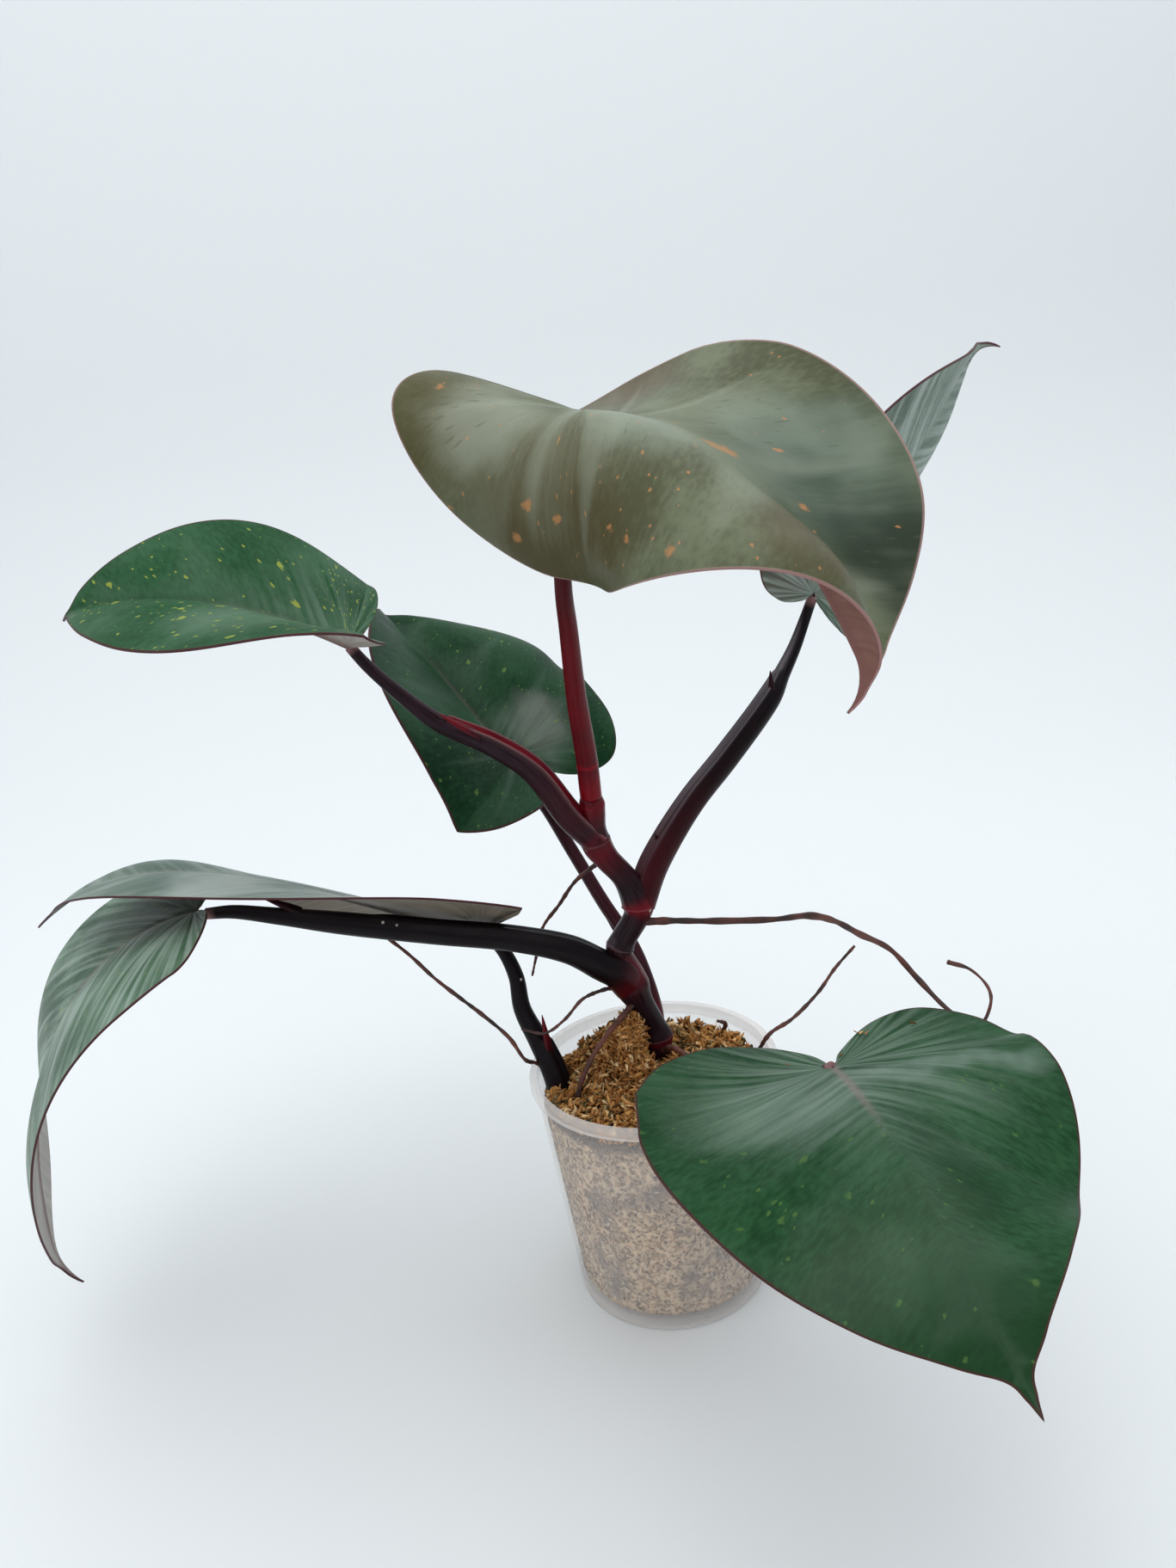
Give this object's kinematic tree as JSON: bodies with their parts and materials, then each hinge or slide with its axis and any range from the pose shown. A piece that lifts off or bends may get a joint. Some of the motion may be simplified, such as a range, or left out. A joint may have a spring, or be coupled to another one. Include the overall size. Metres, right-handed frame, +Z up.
{
  "type": "potted philodendron",
  "caption": "Young climbing philodendron with heart-shaped waxy leaves, a zig-zag stem and aerial roots, in a clear tapered nursery pot of moss.",
  "frame": {"origin": "centre of the pot's foot pad, on the surface that the pot stands on", "axes": "+Z up through the pot's axis, +X to the right and -Y toward the viewer in the pictured front view"},
  "size_m": [0.3803, 0.2999, 0.3215],
  "materials": {
    "pot_plastic": "gloss",
    "sphagnum": "matte",
    "stem_skin": "satin",
    "petiole_skin": "satin",
    "petiole_red": "satin",
    "blade_green": "satin",
    "blade_grey": "satin",
    "blade_olive": "satin",
    "root_skin": "matte"
  },
  "bodies": {
    "root": {"pot": "pot_plastic", "moss": "sphagnum", "stem": "stem_skin", "petiole_a": "petiole_skin", "petiole_b": "petiole_skin", "petiole_c": "petiole_skin", "petiole_d": "petiole_red", "petiole_e": "petiole_skin", "petiole_f": "petiole_skin", "petiole_g": "petiole_skin", "blade_a": "blade_grey", "blade_b": "blade_green", "blade_c": "blade_green", "blade_d": "blade_olive", "blade_e": "blade_green", "blade_f": "blade_grey", "blade_g": "blade_green", "root_right": "root_skin", "root_rim_right": "root_skin", "root_back": "root_skin", "root_left": "root_skin", "root_front_left": "root_skin", "root_front": "root_skin", "root_short": "root_skin", "root_stub": "root_skin"}
  },
  "joints": []
}
